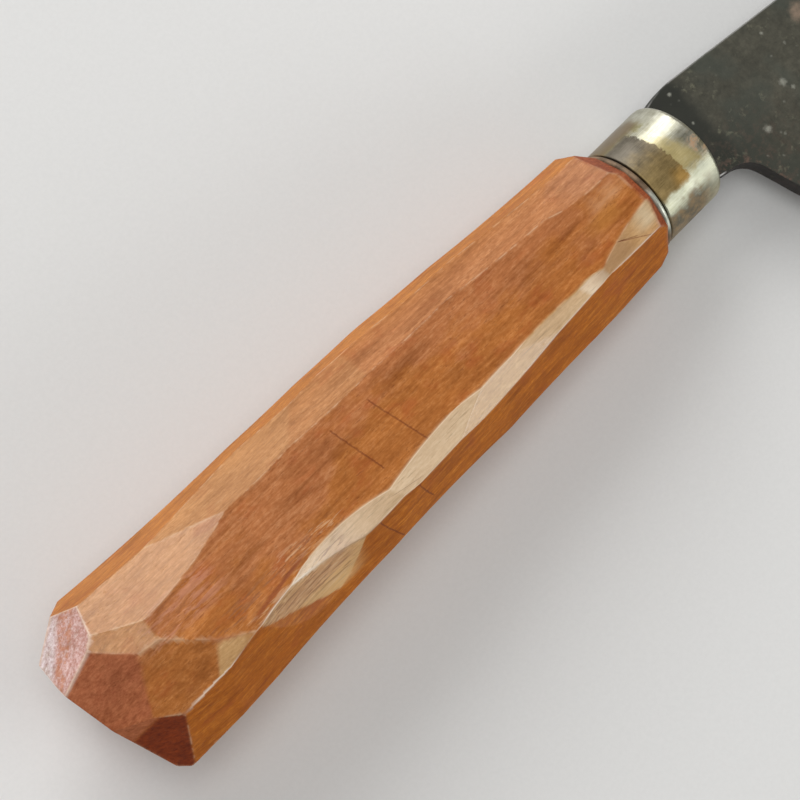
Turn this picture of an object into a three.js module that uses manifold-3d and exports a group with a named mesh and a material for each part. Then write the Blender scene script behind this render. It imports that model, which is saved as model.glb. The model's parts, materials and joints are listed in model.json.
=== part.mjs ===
// A kitchen knife: a forged blade with a hidden tang, a handle carved from one piece of wood, a tube
// ferrule and a bead ring. Millimetres. While the pieces are made, the handle's axis is X with the
// wood's front shoulder at x = 0, the tip is towards +X, the spine towards +Y and one flat of the
// blade towards +Z. At the end the knife is laid down on its side, as it lies on a table.

import * as THREE from 'three';
import { mergeVertices } from 'three/addons/utils/BufferGeometryUtils.js';
import Module from 'manifold-3d';

// Fits
const FIT_GAP = 0.3;

// Ferrule and bead ring
const FERRULE_RADIUS = 9.5;
const FERRULE_LENGTH = 12.8;
const FERRULE_WALL = 1.2;
const FERRULE_RIM_ROUND = 0.9;
const FERRULE_BACK_BREAK = 0.25;
const RING_WIDTH = 1.1;
const RING_PROUD = 0.25;

// Handle: a taper that every cut of the knife is measured from
const HANDLE_LENGTH = 120.5;
const SHOULDER_STEP = 0.4;
const BUTT_SWELL = 5.7;
const BLANK_SPARE = 9;
const SPIGOT_LENGTH = 10;

// Blade, measured from the ferrule's front face
const BLADE_REACH = 182;
const SPINE_THICKNESS = 3.4;
const TIP_THICKNESS = 1.4;
const EDGE_THICKNESS = 0.3;
const BEVEL_HEIGHT = 19;
const NECK_TOP = 8.2;
const NECK_BOTTOM = 7.5;
const HUMP_X = 8;
const HUMP_RISE = 0.8;
const SPINE_FALL = 0.107;
const SPINE_STRAIGHT_TO = 140;
const THINNED_FROM = 14;
const CHOIL_X = 8;
const CHOIL_DROP = 1.5;
const CHOIL_ROUND = 3.2;
const HEEL_X = 17.5;
const HEEL_DROP = 37.5;
const TIP_DROP = 31;
const BELLY_DROP = 4.6;

// Tang and its bedding
const TANG_LENGTH = 84;
const TANG_HEIGHT = 8;
const TANG_THICKNESS = 3;
const TANG_END_HEIGHT = 5;
const TANG_END_THICKNESS = 2.4;
const BEDDING_WALL = 0.8;

// Places along the axis that follow from the sizes
const RING_BACK = FIT_GAP;
const FERRULE_BACK = RING_BACK + RING_WIDTH + FIT_GAP;
const FERRULE_FRONT = FERRULE_BACK + FERRULE_LENGTH;
const BORE_RADIUS = FERRULE_RADIUS - FERRULE_WALL;
const SPIGOT_RADIUS = BORE_RADIUS - FIT_GAP;
const SHOULDER_RADIUS = FERRULE_RADIUS + SHOULDER_STEP;
const NECK_BACK = FERRULE_FRONT + FIT_GAP / 2;
const TIP_X = FERRULE_FRONT + BLADE_REACH;
const TAPER = BUTT_SWELL / HANDLE_LENGTH;

// Rows of long cuts round the handle. A row has the hollow of its cuts, and each cut has its middle
// behind the shoulder, its length, how far its flat stands off the taper, and the way it faces: degrees
// from straight up, towards the edge side.
const LONG_CUTS = [
  {
    hollow: 0.25,
    cuts: [
      [106, 26, 1.4, -73], [82, 24, 2.5, -72], [59, 24, 3.2, -73], [36, 24, 2.9, -71],
      [11, 26, 2.3, -72],
    ],
  },
  {
    hollow: 0.3,
    cuts: [
      [110, 18, 0.2, -32], [88, 20, 1.5, -50], [66, 24, 2.2, -43], [45, 24, 2.1, -42],
      [24, 24, 1.8, -41], [6, 16, 1.5, -33],
    ],
  },
  {
    hollow: 0.2,
    cuts: [
      [103, 34, -0.6, -5], [72, 32, -0.4, -3], [41, 26, -0.3, -5], [12, 28, 0.5, -3],
    ],
  },
  {
    hollow: 0.75,
    cuts: [
      [88, 20, -1.6, 54], [79.5, 22, 0.2, 27],
    ],
  },
  {
    hollow: 0.3,
    cuts: [
      [56, 22, 0.7, 20], [40, 18, 0.6, 33], [33, 18, 0.85, 24], [20.5, 9, 1.4, 21],
      [0, 18, 0.8, 17],
    ],
  },
  {
    hollow: 0.2,
    cuts: [
      [109, 30, -1.9, 60], [83, 26, -0.2, 62], [59, 30, -0.5, 64], [35, 28, -0.4, 62],
      [11, 28, -0.1, 63],
    ],
  },
  {
    hollow: 0.2,
    cuts: [
      [105, 34, -1.6, 102], [79, 24, -2.2, 104], [55, 32, -0.4, 104], [21, 46, 1, 103],
    ],
  },
  {
    hollow: 0.25,
    cuts: [
      [95, 36, 1.2, 146], [61, 34, 1.4, 149], [25, 38, 2, 145],
    ],
  },
  {
    hollow: 0.1,
    cuts: [
      [91, 60, -0.1, 183], [29, 64, 0.4, 181],
    ],
  },
  {
    hollow: 0.25,
    cuts: [
      [99, 34, 0.6, 222], [67, 32, 0.9, 226], [33, 36, 0.8, 221],
    ],
  },
  {
    hollow: 0.2,
    cuts: [
      [95, 40, 1.3, 253], [57, 38, 2.5, 253], [17, 42, 2, 253],
    ],
  },
];

// Cuts that round off the butt: the dip off the handle's axis and the way each faces, in degrees, and
// the distance of its flat from the axis point at the butt.
const BUTT_CUTS = [
  [10, 16, 11.8],
  [6, 60, 11.3],
  [14, 13, 10.5],
  [11, -7, 12.4],
  [25, 7, 9.1],
  [34, 58, 6.7],
  [32, -52, 11.3],
  [64, 161, -0.7],
  [30, -107, 10.7],
  [73, -162, 2.4],
  [37, 131, 6],
  [38, -132, 7.5],
];

// Small cuts that break the front end down to the shoulder: the dip off the axis and the way each faces.
const NOSE_CUTS = [
  [46, -72], [34, -36], [28, -4], [34, 26], [30, 63], [34, 103], [33, 146], [24, 181], [33, 222], [46, 253],
];

// Fineness of the curved faces
const ROUND_STEPS = 48;
const ARC_STEPS = 8;
const CUT_STEPS = 6;
const EDGE_STEPS = 26;
const WELD = 1e-4;

const wasm = await Module();
wasm.setup();

// A closed geometry as a solid that can be joined and cut.
function solidOf(geometry) {
  const bare = geometry.clone();
  bare.deleteAttribute('normal');
  bare.deleteAttribute('uv');
  const merged = mergeVertices(bare, WELD);
  const vertProperties = new Float32Array(merged.attributes.position.array);
  const triVerts = new Uint32Array(merged.index.array);
  return new wasm.Manifold(new wasm.Mesh({ numProp: 3, vertProperties, triVerts }));
}

// A solid as a geometry for a mesh.
function geometryOf(solid) {
  const { vertProperties, triVerts } = solid.getMesh();
  const geometry = new THREE.BufferGeometry();
  geometry.setAttribute('position', new THREE.BufferAttribute(vertProperties, 3));
  geometry.setIndex(new THREE.BufferAttribute(triVerts, 1));
  geometry.computeVertexNormals();
  return geometry;
}

// A profile of (place along the axis, radius) points turned round the handle's axis.
function turned(profile) {
  const points = profile.map(([x, radius]) => new THREE.Vector2(radius, x));
  return new THREE.LatheGeometry(points, ROUND_STEPS).rotateZ(-Math.PI / 2);
}

// Points of a quarter round from one direction to another, in degrees.
function roundCorner(x, radius, size, from, to) {
  return Array.from({ length: ARC_STEPS + 1 }, (_, i) => {
    const angle = THREE.MathUtils.degToRad(from + ((to - from) * i) / ARC_STEPS);
    return [x + size * Math.cos(angle), radius + size * Math.sin(angle)];
  });
}

// A block round the tang, with a margin all round, that keeps to the tang's own taper.
function tangBlock(margin, front) {
  const tangEnd = FERRULE_FRONT - TANG_LENGTH;
  const end = tangEnd - margin;
  const block = new THREE.BoxGeometry(front - end, 1, 1).translate((front + end) / 2, 0, 0);
  const position = block.attributes.position;
  for (let i = 0; i < position.count; i += 1) {
    const share = (position.getX(i) - tangEnd) / TANG_LENGTH;
    const height = THREE.MathUtils.lerp(TANG_END_HEIGHT, TANG_HEIGHT, share) + 2 * margin;
    const thickness = THREE.MathUtils.lerp(TANG_END_THICKNESS, TANG_THICKNESS, share) + 2 * margin;
    position.setY(i, position.getY(i) * height);
    position.setZ(i, position.getZ(i) * thickness);
  }
  return block;
}

// One long cut of the knife along the handle: the tool's path is a shallow arc, so the flat is a little
// hollow along its length and runs out where the next cut starts.
function longCut([behind, length, standoff, facing], hollow) {
  const arcRadius = length ** 2 / (8 * hollow);
  const reach = SHOULDER_RADIUS + TAPER * behind + standoff;
  const half = Math.sqrt((2 * arcRadius * BLANK_SPARE) / 3);
  const sweep = Math.asin(half / arcRadius);
  const outline = new THREE.Shape();
  outline.absarc(0, arcRadius, arcRadius, -Math.PI / 2 - sweep, -Math.PI / 2 + sweep, false);
  outline.lineTo(half, 3 * BLANK_SPARE);
  outline.lineTo(-half, 3 * BLANK_SPARE);
  outline.closePath();
  const width = 6 * SHOULDER_RADIUS;
  const tool = new THREE.ExtrudeGeometry(outline, {
    depth: width,
    bevelEnabled: false,
    curveSegments: CUT_STEPS,
  });
  tool.translate(0, 0, -width / 2);
  tool.rotateX(Math.PI / 2);
  tool.rotateY(Math.atan(TAPER));
  tool.translate(-behind, 0, reach);
  tool.rotateX(THREE.MathUtils.degToRad(facing));
  return solidOf(tool);
}

// One flat cut across an end of the handle, on the outside of a plane that dips off the axis.
function endCut(x, towards, dip, facing, distance) {
  const slope = THREE.MathUtils.degToRad(dip);
  const turn = THREE.MathUtils.degToRad(facing);
  const outward = new THREE.Vector3(
    towards * Math.sin(slope),
    -Math.cos(slope) * Math.sin(turn),
    Math.cos(slope) * Math.cos(turn),
  );
  const size = 8 * SHOULDER_RADIUS;
  const block = new THREE.BoxGeometry(size, size, size).translate(0, 0, distance + size / 2);
  block.applyQuaternion(new THREE.Quaternion().setFromUnitVectors(new THREE.Vector3(0, 0, 1), outward));
  return solidOf(block.translate(x, 0, 0));
}

// The wooden handle: a tapered blank, carved all round, with the spigot for the ferrule and the slot.
function carvedHandle() {
  const blank = turned([
    [-HANDLE_LENGTH - BLANK_SPARE, 0],
    [-HANDLE_LENGTH - BLANK_SPARE, SHOULDER_RADIUS + BUTT_SWELL + BLANK_SPARE],
    [0, SHOULDER_RADIUS + BLANK_SPARE],
    [0, 0],
  ]);
  let body = solidOf(blank);
  for (const { hollow, cuts } of LONG_CUTS) {
    for (const cut of cuts) {
      body = body.subtract(longCut(cut, hollow));
    }
  }
  for (const [dip, facing, distance] of BUTT_CUTS) {
    body = body.subtract(endCut(-HANDLE_LENGTH, -1, dip, facing, distance));
  }
  for (const [dip, facing] of NOSE_CUTS) {
    const distance = SHOULDER_RADIUS * Math.cos(THREE.MathUtils.degToRad(dip));
    body = body.subtract(endCut(0, 1, dip, facing, distance));
  }
  const spigot = turned([
    [-SPIGOT_LENGTH, 0],
    [-SPIGOT_LENGTH, SPIGOT_RADIUS],
    [SPIGOT_LENGTH, SPIGOT_RADIUS],
    [SPIGOT_LENGTH, 0],
  ]);
  const slot = tangBlock(2 * FIT_GAP + BEDDING_WALL, FERRULE_FRONT);
  return geometryOf(body.add(solidOf(spigot)).subtract(solidOf(slot)));
}

// The ferrule: a length of tube with its front rim rounded over and its back edge broken.
function tubeFerrule() {
  const rim = FERRULE_RIM_ROUND;
  const profile = [
    [FERRULE_BACK, BORE_RADIUS],
    [FERRULE_BACK, FERRULE_RADIUS - FERRULE_BACK_BREAK],
    [FERRULE_BACK + FERRULE_BACK_BREAK, FERRULE_RADIUS],
    ...roundCorner(FERRULE_FRONT - rim, FERRULE_RADIUS - rim, rim, 90, 0),
    [FERRULE_FRONT, BORE_RADIUS],
    [FERRULE_BACK, BORE_RADIUS],
  ];
  return turned(profile);
}

// The bead ring: a thin collar with a half round outside, between the wood and the ferrule.
function beadRing() {
  const half = RING_WIDTH / 2;
  const crown = FERRULE_RADIUS + RING_PROUD - half;
  const profile = [
    [RING_BACK, BORE_RADIUS],
    ...roundCorner(RING_BACK + half, crown, half, 180, 0),
    [RING_BACK + RING_WIDTH, BORE_RADIUS],
    [RING_BACK, BORE_RADIUS],
  ];
  return turned(profile);
}

// The set resin: a plug in the ferrule's mouth and a sleeve round the tang, with the tang's own pocket.
function tangBedding() {
  const plugBack = SPIGOT_LENGTH + FIT_GAP;
  const plugFront = NECK_BACK - FIT_GAP;
  const plug = turned([
    [plugBack, 0],
    [plugBack, SPIGOT_RADIUS],
    [plugFront, SPIGOT_RADIUS],
    [plugFront, 0],
  ]);
  const sleeve = solidOf(tangBlock(FIT_GAP + BEDDING_WALL, (plugBack + plugFront) / 2));
  const pocket = solidOf(tangBlock(FIT_GAP, NECK_BACK));
  return geometryOf(solidOf(plug).add(sleeve).subtract(pocket));
}

// The spine's height over the axis along its straight run, by distance from the ferrule.
function spineHeight(distance) {
  return NECK_TOP + HUMP_RISE - SPINE_FALL * (distance - HUMP_X);
}

// The cutting edge from heel to tip, with its belly.
function edgeCurve() {
  const run = BLADE_REACH - HEEL_X;
  return new THREE.CubicBezierCurve3(
    new THREE.Vector3(FERRULE_FRONT + HEEL_X, -HEEL_DROP, 0),
    new THREE.Vector3(FERRULE_FRONT + HEEL_X + run / 3, -HEEL_DROP - BELLY_DROP, 0),
    new THREE.Vector3(TIP_X - run / 4, -HEEL_DROP - 1.25 * BELLY_DROP, 0),
    new THREE.Vector3(TIP_X, -TIP_DROP, 0),
  );
}

// The blade's outline seen from its flat: neck, hump, straight spine, dropped point, edge, heel and choil.
function bladeOutline() {
  const x = (distance) => FERRULE_FRONT + distance;
  const straightEnd = spineHeight(SPINE_STRAIGHT_TO);
  const dropRun = BLADE_REACH - SPINE_STRAIGHT_TO;
  const choilY = -NECK_BOTTOM - CHOIL_DROP;
  const heelSlope = (HEEL_X - CHOIL_X) / (HEEL_DROP + choilY);
  const edge = edgeCurve();
  const outline = new THREE.Shape();
  outline.moveTo(NECK_BACK, NECK_TOP);
  outline.quadraticCurveTo(x(HUMP_X / 2), spineHeight(HUMP_X / 2), x(HUMP_X), spineHeight(HUMP_X));
  outline.lineTo(x(SPINE_STRAIGHT_TO), straightEnd);
  outline.bezierCurveTo(
    x(SPINE_STRAIGHT_TO + 0.45 * dropRun), straightEnd - SPINE_FALL * 0.45 * dropRun,
    x(BLADE_REACH - 0.2 * dropRun), (straightEnd - TIP_DROP) / 2,
    TIP_X, -TIP_DROP,
  );
  outline.bezierCurveTo(edge.v2.x, edge.v2.y, edge.v1.x, edge.v1.y, edge.v0.x, edge.v0.y);
  outline.lineTo(x(CHOIL_X + heelSlope * CHOIL_ROUND), choilY - CHOIL_ROUND);
  outline.quadraticCurveTo(
    x(CHOIL_X), choilY,
    x(CHOIL_X - CHOIL_ROUND), choilY + (CHOIL_DROP * CHOIL_ROUND) / CHOIL_X,
  );
  outline.lineTo(NECK_BACK, -NECK_BOTTOM);
  outline.closePath();
  return outline;
}

// A block over one flat of the blade whose underside closes in on the middle towards the tip.
function distalTaper(side) {
  const start = FERRULE_FRONT + THINNED_FROM;
  const fall = Math.atan((SPINE_THICKNESS - TIP_THICKNESS) / 2 / (TIP_X - start));
  const size = 2 * BLADE_REACH;
  const block = new THREE.BoxGeometry(size, size, SPINE_THICKNESS).translate(0, 0, SPINE_THICKNESS / 2);
  block.rotateY(fall).translate(start, 0, SPINE_THICKNESS / 2);
  return solidOf(side > 0 ? block : block.rotateX(Math.PI));
}

// A wedge that follows the edge and grinds one bevel, from the edge's thickness up to the full flat.
function bevelGrind(side) {
  const edge = edgeCurve();
  const slope = (SPINE_THICKNESS - EDGE_THICKNESS) / 2 / BEVEL_HEIGHT;
  const depth = (height) => -side * (EDGE_THICKNESS / 2 + slope * height);
  const below = -EDGE_THICKNESS;
  const above = 1.5 * BEVEL_HEIGHT;
  const clear = -side * 2 * SPINE_THICKNESS;
  const section = new THREE.Shape([
    new THREE.Vector2(depth(below), below),
    new THREE.Vector2(depth(above), above),
    new THREE.Vector2(clear, above),
    new THREE.Vector2(clear, below),
  ]);
  const run = edge.getPoints(EDGE_STEPS);
  const lead = run[0].clone().addScaledVector(edge.getTangent(0), -BEVEL_HEIGHT);
  const tail = run[EDGE_STEPS].clone().addScaledVector(edge.getTangent(1), BEVEL_HEIGHT);
  const path = new THREE.CurvePath();
  const stops = [lead, ...run, tail];
  for (let i = 1; i < stops.length; i += 1) {
    path.add(new THREE.LineCurve3(stops[i - 1], stops[i]));
  }
  return solidOf(new THREE.ExtrudeGeometry(section, { steps: 2 * EDGE_STEPS, extrudePath: path }));
}

// The forging: blade and neck at the spine's thickness, thinned to the tip, ground, with its tang.
function forgedBlade() {
  const plate = new THREE.ExtrudeGeometry(bladeOutline(), {
    depth: SPINE_THICKNESS,
    bevelEnabled: false,
    curveSegments: EDGE_STEPS,
  });
  let body = solidOf(plate.translate(0, 0, -SPINE_THICKNESS / 2));
  for (const side of [1, -1]) {
    body = body.subtract(distalTaper(side)).subtract(bevelGrind(side));
  }
  return geometryOf(body.add(solidOf(tangBlock(0, NECK_BACK + FIT_GAP))));
}

function piece(name, geometry, color, roughness, metalness) {
  const mesh = new THREE.Mesh(geometry, new THREE.MeshStandardMaterial({ color, roughness, metalness }));
  mesh.name = name;
  return mesh;
}

const handle = piece('handle', carvedHandle(), 0x9c5a2b, 0.45, 0);
const blade = piece('blade', forgedBlade(), 0x33322e, 0.55, 0.6);
const ferrule = piece('ferrule', tubeFerrule(), 0x9d9373, 0.35, 1);
const knife = new THREE.Group();
knife.add(
  handle,
  piece('back_ring', beadRing(), 0xb7b8a4, 0.35, 1),
  ferrule,
  piece('tang_bedding', tangBedding(), 0x2a1d14, 0.6, 0),
  blade,
);

// The lowest point of a piece, measured from the axis, once the knife is tipped nose down by an angle.
function lowestPoint(mesh, angle) {
  const position = mesh.geometry.attributes.position;
  let lowest = Infinity;
  for (let i = 0; i < position.count; i += 1) {
    lowest = Math.min(lowest, position.getZ(i) * Math.cos(angle) - position.getX(i) * Math.sin(angle));
  }
  return lowest;
}

// Laid on its side, the knife rests on the underside of the handle and on the blade near its tip. The
// angle that puts both at one level is found by halving.
let level = 0;
let steep = Math.atan((SHOULDER_RADIUS + BUTT_SWELL) / BLADE_REACH);
for (let i = 0; i < 40; i += 1) {
  const angle = (level + steep) / 2;
  const underside = Math.min(lowestPoint(handle, angle), lowestPoint(ferrule, angle));
  if (lowestPoint(blade, angle) > underside) {
    level = angle;
  } else {
    steep = angle;
  }
}
knife.rotation.y = steep;

// The origin goes under the middle of the box round the knife.
const box = new THREE.Box3().setFromObject(knife, true);
const middle = box.getCenter(new THREE.Vector3());
knife.position.set(-middle.x, -middle.y, -box.min.z);

export default knife;
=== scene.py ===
import json
import math

import bpy
import numpy as np
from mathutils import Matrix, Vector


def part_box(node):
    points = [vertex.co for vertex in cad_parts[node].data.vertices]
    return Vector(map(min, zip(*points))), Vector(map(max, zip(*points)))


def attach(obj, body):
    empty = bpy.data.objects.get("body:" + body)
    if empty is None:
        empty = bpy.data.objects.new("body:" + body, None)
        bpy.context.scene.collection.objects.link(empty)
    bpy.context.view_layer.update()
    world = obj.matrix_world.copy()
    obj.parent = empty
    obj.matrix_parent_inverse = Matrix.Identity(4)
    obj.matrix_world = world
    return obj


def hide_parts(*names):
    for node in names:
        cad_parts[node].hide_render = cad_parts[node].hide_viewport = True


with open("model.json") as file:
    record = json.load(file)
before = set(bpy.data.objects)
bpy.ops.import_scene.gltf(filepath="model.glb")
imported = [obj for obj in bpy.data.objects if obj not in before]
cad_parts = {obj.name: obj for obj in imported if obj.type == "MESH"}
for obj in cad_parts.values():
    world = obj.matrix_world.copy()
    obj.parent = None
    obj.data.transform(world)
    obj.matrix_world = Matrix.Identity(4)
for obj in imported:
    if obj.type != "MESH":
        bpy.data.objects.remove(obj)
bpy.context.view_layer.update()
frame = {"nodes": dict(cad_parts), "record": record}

# Blade: one forging of carbon steel, with the neck, the flats and a tang that is hidden in the handle.
# It is drawn out under the hammer, left black from the forge, and ground to an edge from both sides.
FLAT_NORMALS = {m["name"]: np.array(m["axis"]) for m in frame["record"]["mounts"]}
knife_up = FLAT_NORMALS["blade_flat"] - FLAT_NORMALS["blade_flat_under"]
LEAN = math.atan2(knife_up[0], knife_up[2])
ALONG = np.array((math.cos(LEAN), 0.0, -math.sin(LEAN)))
SPINEWARD = np.array((0.0, 1.0, 0.0))
UPWARD = np.array((math.sin(LEAN), 0.0, math.cos(LEAN)))
RING_MIDDLE = 0.85
SHOULDER = np.mean(np.array(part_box("back_ring")), axis=0) - ALONG * RING_MIDDLE / 1000

FERRULE_FRONT = 14.5
NECK_BACK = 0.15
NECK_TOP, NECK_BOTTOM = 8.2, 7.5
HUMP_X, HUMP_RISE, SPINE_FALL = 8.0, 0.8, 0.107
SPINE_STRAIGHT_TO = 140.0
CHOIL_X, CHOIL_DROP, CHOIL_ROUND = 8.0, 1.5, 3.2
HEEL_X, HEEL_DROP = 17.5, 37.5
BLADE_REACH, TIP_DROP, BELLY_DROP = 182.0, 31.0, 4.595
SPINE_THICKNESS, TIP_THICKNESS, EDGE_THICKNESS = 3.4, 1.4, 0.3
THINNED_FROM, BEVEL_HEIGHT, BEVEL_BLEND = 14.0, 19.0, 0.025
CORNER_ROUND, HAMMERED = 0.3, 0.06
POINTS_ACROSS = 3
TANG_LENGTH = 84.0
TANG_HEIGHT, TANG_END_HEIGHT = 8.0, 5.0
TANG_THICKNESS, TANG_END_THICKNESS = 3.0, 2.4


def in_frame(x, y, z):
    """Knife millimetres as metres in the frame. X runs from the wood's shoulder to the tip, y to the spine
    and z up."""
    x, y, z = (np.asarray(part)[..., None] for part in np.broadcast_arrays(x, y, z))
    return SHOULDER + (x * ALONG + y * SPINEWARD + z * UPWARD) / 1000


def bezier(points, steps=200):
    """Points of a quadratic or cubic curve: each control point times its share of t and 1 - t."""
    t = np.linspace(0, 1, steps)[:, None]
    points = np.array(points, dtype=float)
    last = len(points) - 1
    return sum(math.comb(last, i) * (1 - t) ** (last - i) * t**i * p for i, p in enumerate(points))


def added(name, data):
    """A new object of the scene."""
    made = bpy.data.objects.new(name, data)
    bpy.context.collection.objects.link(made)
    return made


def skin(name, points, ends="capped", split=None):
    """A grid of points as one closed mesh. Columns run round; rows close to a point at each end, or join.
    A split says for each square of the grid whether its first diagonal cuts it in two, or its second."""
    rows, columns = points.shape[:2]
    grid = np.arange(rows * columns).reshape(rows, columns)
    if ends == "joined":
        grid = np.vstack((grid, grid[:1]))
    here, across = grid[:-1], np.roll(grid[:-1], -1, axis=1)
    ahead, corner = grid[1:], np.roll(grid[1:], -1, axis=1)
    quads = np.stack((here, across, corner, ahead), axis=-1).reshape(-1, 4)
    vertices = points.reshape(-1, 3)
    faces = quads.tolist()
    if split is not None:
        first = split.reshape(-1, 1)
        halves = np.where(first, quads[:, (0, 1, 2)], quads[:, (0, 1, 3)])
        faces = np.vstack((halves, np.where(first, quads[:, (0, 2, 3)], quads[:, (1, 2, 3)]))).tolist()
    if ends == "capped":
        first, last = len(vertices), len(vertices) + 1
        vertices = np.vstack((vertices, points[0].mean(axis=0), points[-1].mean(axis=0)))
        faces += np.stack((np.roll(grid[0], -1), grid[0], np.full(columns, first)), axis=-1).tolist()
        faces += np.stack((grid[-1], np.roll(grid[-1], -1), np.full(columns, last)), axis=-1).tolist()
    a, b, c, d = (vertices[quads[:, i]] for i in range(4))
    middle = vertices.mean(axis=0)
    if np.sum((a + c - 2 * middle) * np.cross(c - a, d - b)) < 0:
        faces = [face[::-1] for face in faces]
    mesh = bpy.data.meshes.new(name)
    mesh.from_pydata(vertices.tolist(), [], faces)
    mesh.polygons.foreach_set("use_smooth", np.ones(len(mesh.polygons), dtype=bool))
    return added(name, mesh)


class Tone:
    """One output of a material's nodes. Arithmetic on it adds Math nodes to the same material."""

    def __init__(self, tree, socket):
        self.tree = tree
        self.socket = socket

    def node(self, kind, settings=None, sockets=None, out=0):
        """Adds a node: its settings first, a ramp's stops among them, then its sockets' values or links."""
        made = self.tree.nodes.new(kind)
        for key, value in (settings or {}).items():
            if key == "stops":
                while len(made.color_ramp.elements) < len(value):
                    made.color_ramp.elements.new(0.5)
                for element, (place, colour) in zip(made.color_ramp.elements, value):
                    element.position = place
                    element.color = (*colour, 1)
            else:
                setattr(made, key, value)
        for key, value in (sockets or {}).items():
            if isinstance(value, Tone):
                self.tree.links.new(value.socket, made.inputs[key])
            else:
                made.inputs[key].default_value = value
        return Tone(self.tree, made.outputs[out])

    def math(self, operation, *others):
        """One Math node with this value first."""
        return self.node("ShaderNodeMath", {"operation": operation}, dict(enumerate((self, *others))))

    def __add__(self, other):
        return self.math("ADD", other)

    __radd__ = __add__

    def __mul__(self, other):
        return self.math("MULTIPLY", other)

    __rmul__ = __mul__

    def __sub__(self, other):
        return self.math("SUBTRACT", other)

    def __rsub__(self, other):
        return self.math("MULTIPLY_ADD", -1.0, other)

    def between(self, low, high):
        """0 below low, 1 above high, and a smooth step from one to the other. High may be the lower one."""
        settings = {"interpolation_type": "SMOOTHSTEP", "clamp": True}
        ends = {"From Min": min(low, high), "From Max": max(low, high)}
        rising = self.node("ShaderNodeMapRange", settings, {"Value": self, **ends})
        return rising if low < high else 1 - rising

    def span(self, start, full, fading, end):
        """1 between full and fading, 0 outside start and end, and smooth steps between."""
        return self.between(start, full) * self.between(end, fading)

    def inside(self, low, high, soft):
        """1 from low to high and 0 beyond, with a smooth step that reaches soft to both sides of each end."""
        return self.span(low - soft, low + soft, high - soft, high + soft)

    def marks(self, names):
        """The values that a piece's points carry under these names."""
        return [self.node("ShaderNodeAttribute", {"attribute_name": name}, None, 2) for name in names]

    def stretched(self, x, y=1.0, z=1.0):
        """These coordinates times a factor on each axis."""
        return self.node("ShaderNodeVectorMath", {"operation": "MULTIPLY"}, {0: self, 1: (x, y, z)})

    def axis(self, index):
        """One of these coordinates."""
        return self.node("ShaderNodeSeparateXYZ", None, {0: self}, index)

    def noise(self, scale, detail=3.0, roughness=0.55, distortion=0.0):
        """Soft noise at these coordinates, about 0.5."""
        sockets = {"Vector": self, "Scale": scale, "Detail": detail, "Roughness": roughness}
        return self.node("ShaderNodeTexNoise", None, {**sockets, "Distortion": distortion})

    def cells(self, scale):
        """Distance to the nearest of scattered points at these coordinates."""
        return self.node("ShaderNodeTexVoronoi", None, {"Vector": self, "Scale": scale})

    def ramp(self, *stops):
        """A colour for this value, from stops of place and colour."""
        return self.node("ShaderNodeValToRGB", {"stops": stops}, {0: self})

    def mix(self, a, b, how="MIX"):
        """Colour a where this value is 0, and where it is 1 colour b, or both multiplied."""
        a, b = (c if isinstance(c, Tone) else (*c, 1) for c in (a, b))
        settings = {"data_type": "RGBA", "blend_type": how}
        return self.node("ShaderNodeMix", settings, {0: self, 6: a, 7: b}, 2)


def finish(name, colour, roughness, metallic, height, bump=0.3, depth=0.0001, coat=0.0, **constants):
    """A material from tones of colour, roughness, metal, height and coat. Constants go on the shader."""
    tree = colour.tree
    shader = next(n for n in tree.nodes if n.type == "BSDF_PRINCIPLED")
    for key, value in constants.items():
        shader.inputs[key.replace("_", " ")].default_value = value
    varying = {"Base Color": colour, "Roughness": roughness, "Metallic": metallic, "Coat Weight": coat}
    for key, value in varying.items():
        if isinstance(value, Tone):
            tree.links.new(value.socket, shader.inputs[key])
        else:
            shader.inputs[key].default_value = value
    sockets = {"Strength": bump, "Distance": depth, "Height": height}
    normal = colour.node("ShaderNodeBump", None, sockets)
    tree.links.new(normal.socket, shader.inputs["Normal"])
    return bpy.data.materials[name]


def knife_space(name):
    """A new material and its coordinates: knife millimetres, from the object's own coordinates."""
    material = bpy.data.materials.new(name)
    material.use_nodes = True
    tree = material.node_tree
    start = Tone(tree, tree.nodes.new("ShaderNodeTexCoord").outputs["Object"])
    shift = tuple(-1000 * float(SHOULDER @ axis) for axis in (ALONG, SPINEWARD, UPWARD))
    sockets = {"Vector": start, "Location": shift, "Rotation": (0, -LEAN, 0), "Scale": (1000, 1000, 1000)}
    return start.node("ShaderNodeMapping", {"vector_type": "POINT"}, sockets)


def spine_line(u):
    """Height of the straight part of the spine at a distance from the ferrule."""
    return NECK_TOP + HUMP_RISE - SPINE_FALL * (u - HUMP_X)


drop_start = spine_line(SPINE_STRAIGHT_TO)
drop_run = BLADE_REACH - SPINE_STRAIGHT_TO
spine_outline = np.vstack((
    bezier(((NECK_BACK, NECK_TOP), (HUMP_X / 2, spine_line(HUMP_X / 2)), (HUMP_X, spine_line(HUMP_X)))),
    bezier((
        (SPINE_STRAIGHT_TO, drop_start),
        (SPINE_STRAIGHT_TO + 0.45 * drop_run, drop_start - SPINE_FALL * 0.45 * drop_run),
        (BLADE_REACH - 0.2 * drop_run, (drop_start - TIP_DROP) / 2),
        (BLADE_REACH, -TIP_DROP),
    )),
))
edge_run = BLADE_REACH - HEEL_X
edge_outline = bezier((
    (HEEL_X, -HEEL_DROP),
    (HEEL_X + edge_run / 3, -HEEL_DROP - BELLY_DROP),
    (BLADE_REACH - edge_run / 4, -HEEL_DROP - 1.25 * BELLY_DROP),
    (BLADE_REACH, -TIP_DROP),
))
choil_y = -NECK_BOTTOM - CHOIL_DROP
heel_slope = (HEEL_X - CHOIL_X) / (HEEL_DROP + choil_y)
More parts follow.
